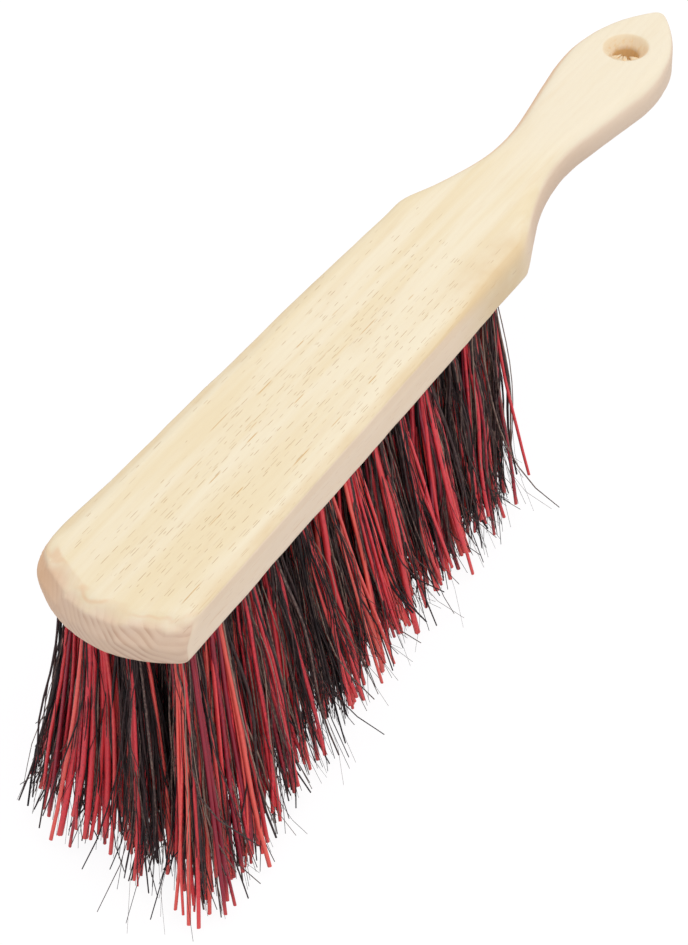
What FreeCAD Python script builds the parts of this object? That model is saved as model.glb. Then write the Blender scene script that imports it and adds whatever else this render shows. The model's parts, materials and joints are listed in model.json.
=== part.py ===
import FreeCAD, Part
import math
import os

# Hand broom: a one-piece beech stock, block and handle in one, with four rows of fibre tufts.
# Each tuft is folded round a flat wire anchor and driven into a blind bore that leans the way
# the tuft spreads. Millimetres, +Z up, +X from the nose towards the handle's tip. The broom
# stands on its trimmed tips at z = 0, with the origin under the middle of its bounding box.

# Block
block_length = 165.0
block_front_width = 47.0
block_rear_width = 43.0
block_thickness = 12.0
nose_bow = 8.0

# Handle: the corners that its flowing outline is rounded from, along and across it
handle_length = 115.0
neck_corner_share = 0.294
neck_corner_width = 17.2
neck_bend_share = 0.45
grip_corner_share = 0.831
grip_corner_width = 39.2
grip_bend_share = 0.78
shoulder_setback = 0.8
tip_radius = 3.0

# Edge rounding of the stock
nose_round = 7.0
block_top_round = 2.4
block_bottom_round = 1.0
handle_round = 5.0
tip_round = 1.8
wall_limit_share = 0.45

# Hanging bore
hang_bore_diameter = 8.0
hang_bore_to_tip = 22.0
hang_rim_chamfer = 3.1

# Tuft field: the bores in the block and the trimmed tips that they fan out to
row_count = 4
tufts_per_row = 13
front_margin = 8.0
rear_margin = 14.5
side_margin = 4.6
trim_height = 72.0
tip_row_spacing = 15.6
tip_gap = 0.9
front_reach = 19.0
front_side_reach = 2.2
front_fan_count = 5
rear_draw = 8.5
rear_fan_count = 4

# Locks: the lobes that a tuft parts into towards its tip, turned from tuft to tuft and unevenly trimmed
lock_parting_share = 0.7
lock_turn_share = 0.064
lock_trim_step = 1.5
lock_trim_count = 4
parting_rise = 6.0

# Bores, bundles and anchors
bundle_sides = 8
bore_diameter = 5.0
bore_floor = 4.0
tuft_clearance = 0.1
fold_height = 1.6
anchor_height = 2.2
anchor_thickness = 0.5
anchor_clearance = 0.05

# How far cutters run past a face, and how near an edge lies to where it is looked for
overrun = 1.0
pick = 1e-4

Vector = FreeCAD.Vector
overall_length = block_length + handle_length
underside_z = trim_height
top_z = trim_height + block_thickness
bore_depth = block_thickness - bore_floor
tuft_pitch = (block_length - front_margin - rear_margin) / (tufts_per_row - 0.5)
row_spacing = (min(block_front_width, block_rear_width) - 2 * side_margin) / (row_count - 1)


def rounded_path(corners, setbacks):
    """Straight runs joined by tangent arcs that start a set distance before each corner."""
    edges = []
    start = corners[0]
    for before, corner, after, setback in zip(corners, corners[1:], corners[2:], setbacks):
        back = (before - corner).normalize()
        ahead = (after - corner).normalize()
        half_angle = back.getAngle(ahead) / 2
        radius = setback * math.tan(half_angle)
        inward = (back + ahead).normalize()
        entry = corner + back * setback
        leave = corner + ahead * setback
        middle = corner + inward * (radius / math.sin(half_angle) - radius)
        edges.append(Part.makeLine(start, entry))
        edges.append(Part.Arc(entry, middle, leave).toShape())
        start = leave
    edges.append(Part.makeLine(start, corners[-1]))
    return edges


def tip_corner(grip):
    """Where the flanks beyond the grip would meet, ahead of the rounded tip, and its setback."""
    run = overall_length - tip_radius - grip.x
    slope = math.atan2(grip.y, run) - math.asin(tip_radius / math.hypot(run, grip.y))
    corner = Vector(grip.x + grip.y / math.tan(slope), 0, grip.z)
    return corner, tip_radius / math.tan(slope)


def stock_outline():
    """Plan of the stock: bowed nose, tapering block, sloped shoulders, waisted handle, blunt tip."""
    neck_x = block_length + neck_corner_share * handle_length
    grip_x = block_length + grip_corner_share * handle_length
    front = Vector(nose_bow, block_front_width / 2, underside_z)
    shoulder = Vector(block_length, block_rear_width / 2, underside_z)
    neck = Vector(neck_x, neck_corner_width / 2, underside_z)
    grip = Vector(grip_x, grip_corner_width / 2, underside_z)
    tip, tip_setback = tip_corner(grip)
    neck_setback = neck_bend_share * (neck - shoulder).Length
    grip_setback = grip_bend_share * (tip - grip).Length
    left = [front, shoulder, neck, grip]
    right = [Vector(point.x, -point.y, point.z) for point in reversed(left)]
    setbacks = [shoulder_setback, neck_setback, grip_setback]
    edges = rounded_path(left + [tip] + right, setbacks + [tip_setback] + setbacks[::-1])
    nose = Part.Arc(right[-1], Vector(0, 0, underside_z), left[0])
    return Part.Wire(edges + [nose.toShape()])


def edges_at_height(shape, height):
    """The shape's edges that lie flat at one height, with their numbers counted from 1."""
    found = []
    for number, edge in enumerate(shape.Edges, 1):
        box = edge.BoundBox
        if abs(box.ZMin - height) < pick and abs(box.ZMax - height) < pick:
            found.append((number, edge))
    return found


def rounding_at(x, block_round):
    """Edge radius along the stock: crisp on the block, full on the handle, crisp at the tip."""
    if x < block_length + 2 * shoulder_setback:
        return block_round
    if x > overall_length - 2 * tip_radius:
        return tip_round
    return min(handle_round, wall_limit_share * block_thickness)


def rounded_stock(solid):
    """The stock's edges, with the radius running out along the shoulders and towards the tip."""
    nose = min(nose_round, block_thickness - 2 * block_bottom_round)
    nose_edges = [edge for number, edge in edges_at_height(solid, top_z) if edge.BoundBox.XMin < pick]
    solid = solid.makeFillet(nose, nose_edges)
    document = FreeCAD.newDocument("stock")
    base = document.addObject("Part::Feature", "base")
    base.Shape = solid
    fillet = document.addObject("Part::Fillet", "rounded")
    fillet.Base = base
    chosen = []
    for height, block_round in ((top_z, block_top_round), (underside_z, block_bottom_round)):
        for number, edge in edges_at_height(solid, height):
            is_nose_border = height == top_z and edge.BoundBox.XMin < nose + pick
            if not is_nose_border:
                ends = (edge.valueAt(edge.FirstParameter), edge.valueAt(edge.LastParameter))
                radii = [rounding_at(end.x, block_round) for end in ends]
                chosen.append((number, *radii))
    fillet.Edges = chosen
    document.recompute()
    shape = fillet.Shape.copy()
    FreeCAD.closeDocument(document.Name)
    return shape


def with_hanging_bore(solid):
    """The bore near the tip that the broom hangs by, drilled right through, its rims eased."""
    x = overall_length - hang_bore_to_tip
    length = block_thickness + 2 * overrun
    bored = solid.cut(
        Part.makeCylinder(hang_bore_diameter / 2, length, Vector(x, 0, underside_z - overrun))
    )
    rims = []
    for height in (top_z, underside_z):
        for number, edge in edges_at_height(bored, height):
            if edge.Curve.TypeId == "Part::GeomCircle" and abs(edge.Curve.Center.x - x) < pick:
                rims.append(edge)
    return bored.makeChamfer(hang_rim_chamfer, rims)


def row_place(row):
    """Where a row lies across the broom, in row spacings from its middle line."""
    return row - (row_count - 1) / 2


def stagger(row):
    """How far a row's bores stand behind the inner ones: half a pitch in the two outer rows."""
    is_outer = row in (0, row_count - 1)
    return tuft_pitch / 2 if is_outer else 0


def bore_x(row, index):
    """Bore places along a row."""
    return front_margin + stagger(row) + index * tuft_pitch


def front_share(index):
    """How much a tuft takes part in the fan at the nose."""
    return max(0, 1 - index / front_fan_count)


def tip_x(row, index):
    """Tip places along a row: fanned forward to one line at the nose, and drawn in at the shoulders."""
    rear_share = max(0, 1 - (tufts_per_row - 1 - index) / rear_fan_count)
    forward = (front_reach + stagger(row)) * front_share(index)
    return bore_x(row, index) - forward - rear_draw * rear_share


def tip_half_length(row, index):
    """Half the room that a tuft's tip has between its neighbours in the row."""
    steps = []
    if index > 0:
        steps.append(tip_x(row, index) - tip_x(row, index - 1))
    if index < tufts_per_row - 1:
        steps.append(tip_x(row, index + 1) - tip_x(row, index))
    return (min(steps) - tip_gap) / 2


def tip_centre(row, index):
    """The middle of a tuft's trimmed tip, on the floor; the rows spread wider at the nose."""
    spacing = tip_row_spacing + front_side_reach * front_share(index)
    return Vector(tip_x(row, index), row_place(row) * spacing, 0)


def bore_placement(row, index):
    """A bore's mouth and lean: local +Z runs up the bore, local X lies along the broom."""
    mouth = Vector(bore_x(row, index), row_place(row) * row_spacing, underside_z)
    up_the_bore = (mouth - tip_centre(row, index)).normalize()
    rotation = FreeCAD.Rotation(Vector(1, 0, 0), Vector(0, 1, 0), up_the_bore, "ZXY")
    return FreeCAD.Placement(mouth, rotation)


def section(half_size, height):
    """The corners of a bore's or a plug's section, whose flats lie at this half size."""
    corners = []
    for side in range(bundle_sides):
        turn = 2 * math.pi * (side + 0.5) / bundle_sides
        reach = half_size / math.cos(math.pi / bundle_sides)
        corners.append(Vector(reach * math.cos(turn), reach * math.sin(turn), height))
    return corners


def facet(*corners):
    """One flat face through its corners."""
    return Part.Face(Part.makePolygon([*corners, corners[0]]))


def walls(rings):
    """The flat facets between neighbouring sections."""
    faces = []
    for lower, upper in zip(rings, rings[1:]):
        for side in range(bundle_sides):
            faces.append(facet(lower[side - 1], lower[side], upper[side - 1]))
            faces.append(facet(lower[side], upper[side], upper[side - 1]))
    return faces


def closed(faces):
    """The solid that a closed set of faces bounds."""
    return Part.Solid(Part.makeShell(faces)).removeSplitter()


def along_bore(row, index, half_size, heights):
    """Equal sections square to a bore, at these heights above its mouth."""
    placement = bore_placement(row, index)
    rings = []
    for height in heights:
        rings.append([placement.multVec(corner) for corner in section(half_size, height)])
    return rings


def tuft_bore(row, index):
    """One blind bore, run out past the underside."""
    rings = along_bore(row, index, bore_diameter / 2, (-bore_diameter, bore_depth))
    return closed([facet(*rings[0]), facet(*rings[-1])] + walls(rings))


def anchor(row, index, clearance):
    """The flat wire that a tuft is folded over, or with a clearance the room that it takes."""
    length = bore_diameter - 2 * anchor_clearance + 2 * clearance
    thickness = anchor_thickness + 2 * clearance
    height = anchor_height + 2 * clearance
    bottom = bore_depth - fold_height - anchor_height - clearance
    blade = Part.makeBox(length, thickness, height, Vector(-length / 2, -thickness / 2, bottom))
    blade.Placement = bore_placement(row, index)
    return blade


def parted_tip(row, index):
    """The corners of a tuft's tip by turns: a lock's trimmed end, then the higher parting beside it."""
    centre = tip_centre(row, index)
    half_length = tip_half_length(row, index)
    half_width = (tip_row_spacing - tip_gap) / 2
    lock_count = bundle_sides // 2
    turn_share = lock_turn_share * index * (row + 1) % (1 / lock_count)
    corners = []
    for side in range(bundle_sides):
        turn = 2 * math.pi * (side / bundle_sides + turn_share)
        lock = side // 2
        if side % 2 == 0:
            reach = 1
            height = lock_trim_step * ((lock + index * (row + 2)) % lock_trim_count)
        else:
            reach = lock_parting_share
            height = parting_rise
        x = half_length * reach * math.cos(turn)
        y = half_width * reach * math.sin(turn)
        corners.append(centre + Vector(x, y, height))
    return corners


def lock_ends(tip):
    """The underside of a parted tip: a flat between the partings, and a slope from it to each lock's end."""
    slopes = [facet(tip[side - 1], tip[side], tip[side + 1]) for side in range(0, bundle_sides, 2)]
    return slopes + [facet(*tip[1::2])]


def tuft(row, index):
    """A folded bundle: a plug round the anchor that flares from the bore and parts into trimmed locks."""
    tip = parted_tip(row, index)
    plug_half = bore_diameter / 2 - tuft_clearance
    plug = along_bore(row, index, plug_half, (0, bore_depth - tuft_clearance))
    bundle = closed(lock_ends(tip) + walls([tip] + plug) + [facet(*plug[-1])])
    return bundle.cut(anchor(row, index, anchor_clearance))


def stock(places):
    """The wooden body with its tuft bores and its hanging bore."""
    blank = Part.Face(stock_outline()).extrude(Vector(0, 0, block_thickness))
    shaped = with_hanging_bore(rounded_stock(blank))
    return shaped.cut([tuft_bore(row, index) for row, index in places])


def main():
    """Every piece, moved so that the origin lies under the middle of the broom."""
    places = [(row, index) for row in range(row_count) for index in range(tufts_per_row)]
    pieces = {"stock": stock(places)}
    pieces["anchors"] = Part.makeCompound([anchor(row, index, 0) for row, index in places])
    for row, index in places:
        pieces[f"tuft_{row + 1}_{index + 1:02d}"] = tuft(row, index)
    front_x = min(tip_x(row, 0) - tip_half_length(row, 0) for row in range(row_count))
    to_middle = Vector(-(front_x + overall_length) / 2, 0, 0)
    os.makedirs("parts", exist_ok=True)
    for name, shape in pieces.items():
        shape.translate(to_middle)
        shape.exportStep(f"parts/{name}.step")


main()
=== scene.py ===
import json
import math

import bmesh
import bpy
import numpy as np
from bpy.props import FloatProperty, FloatVectorProperty, IntProperty, PointerProperty
from mathutils import Matrix, Vector, noise


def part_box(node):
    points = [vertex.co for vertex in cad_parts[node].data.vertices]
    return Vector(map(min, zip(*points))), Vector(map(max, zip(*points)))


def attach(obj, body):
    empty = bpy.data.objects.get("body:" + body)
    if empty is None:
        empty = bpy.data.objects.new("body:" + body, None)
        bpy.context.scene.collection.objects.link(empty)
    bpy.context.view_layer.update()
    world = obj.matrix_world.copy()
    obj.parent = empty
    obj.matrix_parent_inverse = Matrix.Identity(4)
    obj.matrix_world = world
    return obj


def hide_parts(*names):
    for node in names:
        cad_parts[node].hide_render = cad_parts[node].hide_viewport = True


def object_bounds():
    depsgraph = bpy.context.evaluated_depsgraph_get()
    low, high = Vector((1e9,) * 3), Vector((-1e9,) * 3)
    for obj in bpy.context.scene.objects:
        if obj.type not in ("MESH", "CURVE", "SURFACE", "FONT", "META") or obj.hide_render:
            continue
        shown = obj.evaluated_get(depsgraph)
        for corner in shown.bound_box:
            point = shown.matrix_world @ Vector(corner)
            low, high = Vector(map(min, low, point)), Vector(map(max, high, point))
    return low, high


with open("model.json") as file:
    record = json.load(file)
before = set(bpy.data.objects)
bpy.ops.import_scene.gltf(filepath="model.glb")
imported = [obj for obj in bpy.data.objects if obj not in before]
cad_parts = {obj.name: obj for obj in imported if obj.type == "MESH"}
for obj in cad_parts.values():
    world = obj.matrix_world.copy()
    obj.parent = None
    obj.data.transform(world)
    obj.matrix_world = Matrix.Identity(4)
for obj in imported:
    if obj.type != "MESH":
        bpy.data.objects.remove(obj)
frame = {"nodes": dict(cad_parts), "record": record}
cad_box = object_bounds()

bl_info = {
    "name": "Hand Broom",
    "version": (1, 0, 0),
    "blender": (4, 5, 0),
    "location": "3D View > Sidebar > Broom",
    "description": "Dresses a beech hand broom with red and dark fibre tufts, and sets its stage",
    "category": "Object",
}

# What the frame says about the broom: tufts by row and number, and places in metres
TUFTS = [name.split("_") for name in frame["nodes"] if name.startswith("tuft_")]
ROWS = max(int(row) for kind, row, number in TUFTS)
TUFTS_PER_ROW = max(int(number) for kind, row, number in TUFTS)
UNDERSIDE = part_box("stock")[0].z
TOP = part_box("stock")[1].z
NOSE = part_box("stock")[0].x
SLOT_OF_NODE = {part["node"]: part["material_slot"] for part in frame["record"]["subparts"]}
HANGING_BORE = next(mount for mount in frame["record"]["mounts"] if mount["name"] == "hanging_bore")
BORE_CENTRE = Vector(HANGING_BORE["pos_m"])
BORE_RADIUS = HANGING_BORE["dims"]["r_mm"] / 1000
MM = 0.001


def seen(red, green, blue):
    """A colour as it is seen, 0 to 255 a channel, as the linear values that shaders take."""
    linear = []
    for channel in (red, green, blue):
        shown = channel / 255
        linear.append(shown / 12.92 if shown <= 0.04045 else ((shown + 0.055) / 1.055) ** 2.4)
    return tuple(linear)


# Settings

def number(name, description, default, **kind):
    """A number setting."""
    return FloatProperty(name=name, description=description, default=default, **kind)


def triple(name, description, default, subtype):
    """A setting of three numbers."""
    return FloatVectorProperty(name=name, description=description, default=default, subtype=subtype, size=3)


def length(name, description, default):
    """A length setting, in metres."""
    return number(name, description, default, unit="LENGTH", precision=5)


def share(name, description, default):
    """A share setting, from nothing to all."""
    return number(name, description, default, subtype="FACTOR")


def count(name, description, default):
    """A whole number setting."""
    return IntProperty(name=name, description=description, default=default, min=0)


def colour(name, description, default):
    """A colour setting."""
    return triple(name, description, default, "COLOR")


class BroomStockSettings(bpy.types.PropertyGroup):
    """Shape and finish of the beech stock."""

    mesh_size: length("Mesh size", "Width of the stock's mesh cells", 0.7 * MM)
    softening: count("Softening", "Smoothing passes that ease the sawn edges", 3)
    sanding: length("Sanding waves", "How far hand sanding strays from the true surface", 0.2 * MM)
    nose_round: length("Nose round", "Radius of the nose's round-over, sanded in facets", 6.5 * MM)
    lobe_width: length("Lobe width", "Mean width of the sanded lobes across the nose", 9 * MM)
    lobe_depth: length("Lobe depth", "How far a lobe is hollowed between its ridges", 0.5 * MM)
    band_width: length("Worn band", "Width of the shallow worn band along the block's upper edges", 4.2 * MM)
    band_drop: length("Band drop", "How far the worn band falls to the edge", 0.9 * MM)
    torn_rim: length("Torn rim", "How far torn grain reaches into the hanging bore", 3.3 * MM)
    rim_depth: length("Rim depth", "How far below the top the hanging bore's rim ends", 3.1 * MM)
    splinters: count("Splinters", "Torn slivers of grain on the hanging bore's rim", 13)
    shoulder_wear: count("Shoulder wear", "Smoothing passes that round the block's shoulders", 100)
    ring_width: length("Ring width", "Mean width of a growth ring", 1.9 * MM)
    pale: colour("Pale wood", "Pale early wood", seen(250, 238, 211))
    deep: colour("Deep wood", "Deeper late wood", seen(245, 228, 192))
    handle: colour("Handle", "Whiter wood of the handle", seen(249, 238, 215))
    fleck: colour("Fleck", "Short brown flecks along the grain", seen(166, 114, 52))
    glow: colour("Fleck glow", "Golden wood around a fleck", seen(234, 204, 142))
    streak: colour("Long fleck", "Longer tan flecks along the grain", seen(200, 146, 78))
    # Tan streaks along the grain, and painted shade on the worn band along the block's upper edges
    tan_and_edge_shade: colour("Worn edge", "Tan wood at the worn edges and in streaks", seen(238, 216, 178))
    end_grain: colour("End grain", "Pinkish wood across the grain", seen(234, 200, 178))
    ring: colour("Ring", "Late wood of the growth rings", seen(188, 140, 110))
    # Painted shade on the nose's left, along the line atop the nose and on the neck's left rounding
    corner: colour("Corner", "Warmer wood at the nose's edge and the neck's left", seen(236, 190, 148))
    # Painted shade on the sloping right shoulder and on the rounding of the block's rear right edge
    shoulder: colour("Shoulder", "Tan wood of the worn right shoulder and rear edges", seen(230, 200, 154))
    side: colour("Side", "Pinkish tint of the sawn sides", seen(255, 232, 210))
    # Painted shade on the sides of the handle and neck
    handle_side_shade: colour("Grip", "Handled wood of the handle's sides", seen(222, 196, 172))
    rim: colour("Rim", "Wood of the hanging bore's wide rim", seen(240, 214, 174))
    # Tan of the torn spots on the rim, and painted light on the bore's wall
    bore: colour("Bore", "Burnished wall and torn spots of the hanging bore", seen(238, 198, 136))


class BroomTuftSettings(bpy.types.PropertyGroup):
    """The set that the tufts have taken at the nose."""

    lean: length("Lean", "How far the tips at the nose have moved towards the right side", 4.5 * MM)
    right_lean: share("Right lean", "Share by which the tips at the right side lean further", 0.5)
    sweep: length("Sweep", "How far the tips at the nose's left are swept back", 5 * MM)
    bulge: length("Bulge", "How far the tips in the middle of the nose stand forward", 4 * MM)
    set_reach: length("Reach", "How far behind the nose the set ends", 105 * MM)
    set_fade: length("Fade", "Length over which the set fades out", 55 * MM)


FIBRE_SETTINGS = (
    ("strands", count, "Strands", "Strands of fibres in each lock of a tuft"),
    ("strand_change", count, "Strand change", "How many strands more or fewer a lock may have"),
    ("fibres", count, "Fibres", "Fibres in each strand"),
    ("seed", count, "Seed", "Start of the random choices"),
    ("sides", count, "Sides", "Sides of a fibre's section"),
    ("rings", count, "Rings", "Sections along a fibre"),
    ("diameter", length, "Diameter", "Thickness of a fibre"),
    ("diameter_change", share, "Diameter change", "Share by which most are thinner, a few thicker by twice"),
    ("flatness", share, "Flatness", "A section's height as a share of its width"),
    ("point", share, "Point", "Share of its thickness that a fibre loses towards its end"),
    ("hold", length, "Hold", "How deep a fibre sits in its bore"),
    ("root_radius", length, "Root radius", "Radius of the bundle in its bore"),
    ("strand_size", share, "Strand size", "Spread of a strand as a share of its lock"),
    ("spread", share, "Spread", "Reach of the tips as a share of the lock's own"),
    ("breadth", share, "Breadth", "Breadth of a lock as a share of its reach"),
    ("hang", share, "Hang", "How late fibres spread: more brings it nearer the floor"),
    ("splay", length, "Splay", "Random offset of each tip"),
    ("trim", share, "Trim", "Share of a fibre's length by which ends are uneven"),
    ("bow", length, "Bow", "How far a fibre bows between its ends"),
    ("wave", length, "Wave", "How far a fibre waves to and fro"),
    ("curl", length, "Curl", "How far a fibre's end curls aside"),
    ("free_side", length, "Free side", "How far from the middle line fibres spread freely to the side"),
    ("stray_share", share, "Strays", "Share of fibres that stray out of their tuft"),
    ("stray_reach", share, "Stray reach", "How much further a stray spreads"),
    ("stray_curl", length, "Stray curl", "How much further a stray's end curls aside"),
)


def fibre_settings(class_name, description, defaults, colours):
    """A settings class for one kind of fibre."""
    fields = {}
    for key, kind, label, about in FIBRE_SETTINGS:
        fields[key] = kind(label, about, defaults[key])
    for key, (label, about, default) in colours.items():
        fields[key] = colour(label, about, default)
    members = {"__doc__": description, "__annotations__": fields}
    return type(class_name, (bpy.types.PropertyGroup,), members)


BroomRedSettings = fibre_settings(
    "BroomRedSettings",
    "Thick red plastic fibres.",
    dict(
        strands=3, strand_change=2, fibres=2, seed=58, sides=6, rings=9,
        diameter=1.4 * MM, diameter_change=0.18, flatness=0.75, point=0.06,
        hold=5 * MM, root_radius=2.2 * MM, strand_size=0.3, spread=1.04, breadth=0.72,
        hang=0.3, splay=2 * MM, trim=0.18, bow=1.4 * MM, wave=0.4 * MM, curl=1.2 * MM,
        free_side=42 * MM, stray_share=0.05, stray_reach=0.4, stray_curl=2 * MM,
    ),
    dict(
        # Shaded is a painted shade: the maroon of fibres in the shade of the mass
        shaded=("Shaded", "Colour of the darkest fibres", seen(148, 30, 54)),
        body=("Body", "Colour of most fibres", seen(240, 64, 76)),
        # Bright is partly a painted highlight, partly the orange hue some fibres have
        bright=("Bright", "Colour of the brightest fibres", seen(255, 110, 98)),
        tip=("Tip", "Colour of the cut ends", seen(232, 84, 80)),
    ),
)

BroomDarkSettings = fibre_settings(
    "BroomDarkSettings",
    "Fine dark plant fibres.",
    dict(
        strands=5, strand_change=2, fibres=6, seed=47, sides=4, rings=10,
        diameter=0.47 * MM, diameter_change=0.55, flatness=0.85, point=0.4,
        hold=5 * MM, root_radius=2.2 * MM, strand_size=0.45, spread=0.9, breadth=0.75,
        hang=0.3, splay=2.6 * MM, trim=0.3, bow=2 * MM, wave=1.3 * MM, curl=4 * MM,
        free_side=42 * MM, stray_share=0.12, stray_reach=0.6, stray_curl=10 * MM,
    ),
    dict(
        # Shaded is a painted shade of fibres deep in the mass
        shaded=("Shaded", "Colour of the darkest fibres", seen(24, 18, 21)),
        body=("Body", "Colour of most fibres", seen(74, 58, 59)),
        # Bright is partly a painted sheen, partly the paler tone some fibres have
        bright=("Bright", "Colour of the palest fibres", seen(172, 146, 132)),
        tip=("Tip", "Colour of the wispy ends", seen(44, 40, 46)),
    ),
)


# How the camera is turned about x, y and z, in degrees
CAMERA_TURN = (42.634, 4.556, -54.972)


class BroomStageSettings(bpy.types.PropertyGroup):
    """Floor, light and camera."""

    floor_size: length("Floor", "Side of the floor", 8.0)
    sky_strength: number("Sky", "Strength of the light from all around", 0.6)
    key_power: number("Key", "Power of the soft lamp overhead", 7.0, unit="POWER")
    key_size: length("Key size", "Side of the soft lamp", 1.1)
    key_place: triple("Key place", "Where the soft lamp hangs", (0.12, -0.28, 1.2), "TRANSLATION")
    shadow: share("Shadow", "How much of the floor's own shading the camera sees", 0.16)
    camera_place: triple(
        "Camera", "Where the camera stands", (-0.30783, -0.23347, 0.43078), "TRANSLATION"
    )
    camera_turn: triple(
        "Camera turn", "How the camera is turned", [math.radians(turn) for turn in CAMERA_TURN], "EULER"
    )
    camera_lens: number("Lens", "Focal length, mm", 72.83)


# Node trees

class Nodes:
    """Adds nodes to a tree and links them, so that a formula is written in the order it is worked out."""

    def __init__(self, tree):
        self.tree = tree

    def add(self, kind, settings=None, **inputs):
        """A new node, with its settings made first and its inputs fed by name."""
        node = self.tree.nodes.new(kind)
        for name, value in (settings or {}).items():
            setattr(node, name, value)
        for name, value in inputs.items():
            self.feed(self.pick(node.inputs, name), value)
        return node

    def pick(self, sockets, name):
        """The socket in use that has this name, written with _ for a blank."""
        plain = name.replace("_", " ").lower()
        return next(socket for socket in sockets if socket.enabled and socket.name.lower() == plain)

    def feed(self, socket, value):
        """Links a socket to another one, or sets its value."""
        if isinstance(value, bpy.types.NodeSocket):
            self.tree.links.new(value, socket)
        else:
            socket.default_value = value

    def first(self, kind, settings=None, **inputs):
        """The first output in use of a new node."""
        return self.output(self.add(kind, settings, **inputs))

    def output(self, node):
        """The first output in use of a node."""
        return next(socket for socket in node.outputs if socket.enabled)

    def step(self, kind, operation, values):
        """One step of arithmetic by a node of this kind."""
        node = self.add(kind, {"operation": operation})
        for socket, value in zip(node.inputs, values):
            self.feed(socket, value)
        return self.output(node)

    def math(self, operation, *values):
        """One step of arithmetic on numbers."""
        return self.step("ShaderNodeMath", operation, values)

    def vector(self, operation, *values):
        """One step of arithmetic on vectors."""
        return self.step("ShaderNodeVectorMath", operation, values)

    def times(self, product, *factors):
        """The product of some numbers."""
        for factor in factors:
            product = self.math("MULTIPLY", product, factor)
        return product

    def plus(self, a, b):
        """The sum of two numbers."""
        return self.math("ADD", a, b)

    def minus(self, a, b):
        """One number less another."""
        return self.math("SUBTRACT", a, b)

    def moved(self, place, by):
        """A place moved by a vector."""
        return self.vector("ADD", place, by)

    def scaled(self, vector, factor):
        """A vector times a number."""
        return self.first("ShaderNodeVectorMath", {"operation": "SCALE"}, vector=vector, scale=factor)

    def xyz(self, x=0.0, y=0.0, z=0.0):
        """A vector from its parts."""
        return self.first("ShaderNodeCombineXYZ", x=x, y=y, z=z)

    def parts(self, vector):
        """The parts of a vector."""
        return self.add("ShaderNodeSeparateXYZ", vector=vector).outputs

    def ramp(self, value, band, to=(0.0, 1.0)):
        """A value eased from one range to another."""
        node = self.add("ShaderNodeMapRange", {"interpolation_type": "SMOOTHSTEP"}, value=value)
        for name, limit in zip(("From Min", "From Max", "To Min", "To Max"), (*band, *to)):
            self.feed(self.pick(node.inputs, name), limit)
        return self.output(node)

    def mix(self, factor, a, b, blend="MIX"):
        """Two colours mixed."""
        settings = {"data_type": "RGBA", "blend_type": blend}
        return self.first("ShaderNodeMix", settings, factor=factor, a=opaque(a), b=opaque(b))

    def millimetres(self):
        """The place on the object, in millimetres."""
        return self.scaled(self.add("ShaderNodeTexCoord").outputs["Object"], 1 / MM)

    def noise(self, place, pattern):
        """Noise at a place, after a pattern: how fast it changes each way, its detail and its roughness."""
        stretch, detail, roughness = pattern
        place = self.vector("MULTIPLY", place, stretch)
        return self.first("ShaderNodeTexNoise", vector=place, scale=1.0, detail=detail, roughness=roughness)


def opaque(value):
    """A colour with its alpha, or a socket as it is."""
    if isinstance(value, bpy.types.NodeSocket) or len(value) == 4:
        return value
    return (*value, 1.0)


def add_socket(tree, name, kind, direction="INPUT"):
    """Adds a named socket to a node group."""
    tree.interface.new_socket(name, in_out=direction, socket_type=kind)


# Fibres, grown by geometry nodes

SOCKET_KINDS = {count: "NodeSocketInt", length: "NodeSocketFloat", share: "NodeSocketFloat"}

# Each random choice adds a number of its own to the seed, so that no two are drawn alike
CHOICES = dict(
    strand_change=1, reach=2, sideways=3, strand_tone=4, place=5, stray=6, stray_reach=7, splay=8, short=9,
    shorter=10, tone=11, thickness=12, bow=13, curl=14, twist=15, wave=16, wildness=17,
)

# Strands crowd towards a lock's outer end, which is narrower by a share
CROWDING_POWER = 0.45
NARROWING = 0.4

# Most tips splay little and a few much, as times the splay that is set
SPLAY_POWER = 4.0
LEAST_SPLAY = 0.4
MORE_SPLAY = 2.6

# Most fibres are thinner and a few thicker, up to this many times the change that is set
THICK_POWER = 3.0
THICKEST = 2.0

# A stray goes at least this share of its way, and is thinner by a share
LEAST_STRAY = 0.3
STRAY_THINNING = 0.3

# A fibre has this share of its tone from its strand
STRAND_TONE_SHARE = 0.5

# Powers that keep a curl and a point to a fibre's end, and how often a wave swings along it
CURL_POWER = 6.0
POINT_POWER = 3.0
WAVE_TURNS = 1.6

# Beyond the free side, fibres are held back by this share
SIDE_HOLD = 0.65

# What the points carry while fibres grow, and the tubes don't need
WORKING_VALUES = (
    "root", "end", "bow", "curl", "wave", "twist", "fibre_radius", "place", "tip", "lock", "strand_tone",
)

# Rows draw their random choices this far apart, so no two are alike
ROW_SEED_STEP = 100

# How near the underside a tuft's mouth is looked for, and how far below the parting its locks' ends are
MOUTH_BAND = 1.5 * MM
PARTING_CLEARANCE = 0.1 * MM


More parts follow.
